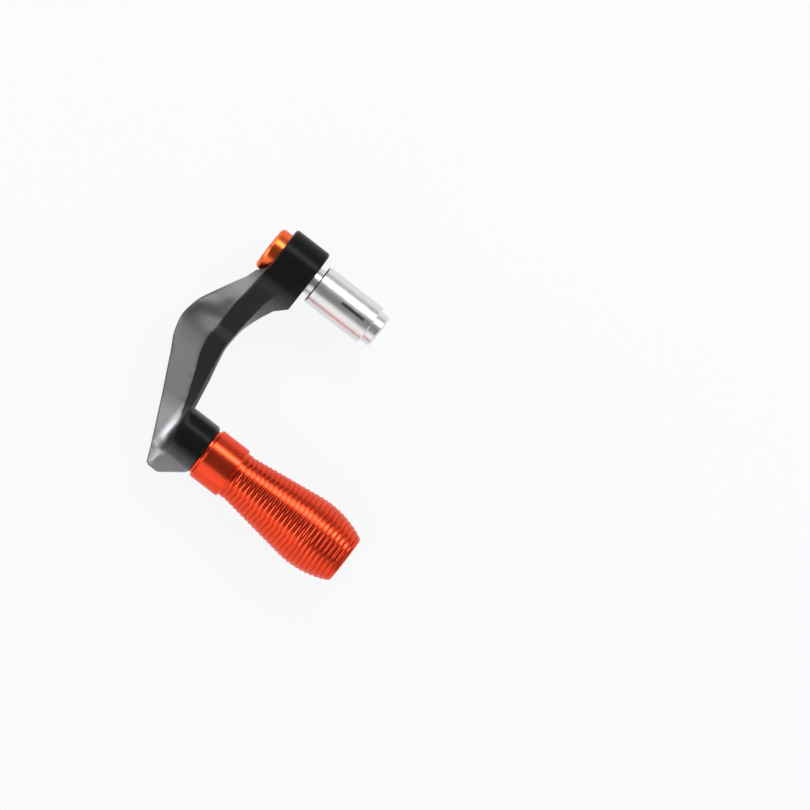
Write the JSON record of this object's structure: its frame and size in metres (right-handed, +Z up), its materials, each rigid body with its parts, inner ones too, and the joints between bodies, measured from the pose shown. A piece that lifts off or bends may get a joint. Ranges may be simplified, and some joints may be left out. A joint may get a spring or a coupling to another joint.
{
  "type": "brake lever guard",
  "caption": "Faceted black guard arm that bends round a brake lever, with a ribbed orange barrel across its tip and an expanding plug that fixes it in the handlebar end.",
  "frame": {"origin": "centre of the hub's inner face, on the plug's axis, where the end of the handlebar meets the guard", "axes": "+X outboard along the handlebar, so the bar leaves along -X; +Y forward to the barrel in front of the lever; +Z up"},
  "size_m": [0.1118, 0.1111, 0.0294],
  "materials": {
    "black_anodised": "satin black anodised, machined facets",
    "orange_anodised": "bright orange anodised, turned",
    "bare_aluminium": "bare, fine turned",
    "screw_steel": "bright zinc plated"
  },
  "bodies": {
    "plug": {"expander_sleeve": "bare_aluminium"},
    "arm": {"guard_arm": "black_anodised", "cup_washer": "orange_anodised", "guard_barrel": "orange_anodised", "barrel_screw": "screw_steel"},
    "bolt": {"draw_bolt": "screw_steel"},
    "nut": {"cone_nut": "bare_aluminium"}
  },
  "joints": [
    {"name": "arm_swivel", "type": "hinge", "parent": "plug", "child": "arm", "pos_m": [0, 0, 0], "axis": [1, 0, 0], "continuous": true},
    {"name": "draw_bolt_turn", "type": "hinge", "parent": "plug", "child": "bolt", "pos_m": [0, 0, 0], "axis": [1, 0, 0], "range_deg": [0, 900]},
    {"name": "cone_nut_slide", "type": "slide", "parent": "plug", "child": "nut", "axis": [-1, 0, 0], "range_m": [0, 0.0025]}
  ],
  "couplings": [
    {"joint": "cone_nut_slide", "follows": "draw_bolt_turn", "m_per_rad": 0.00015915}
  ]
}
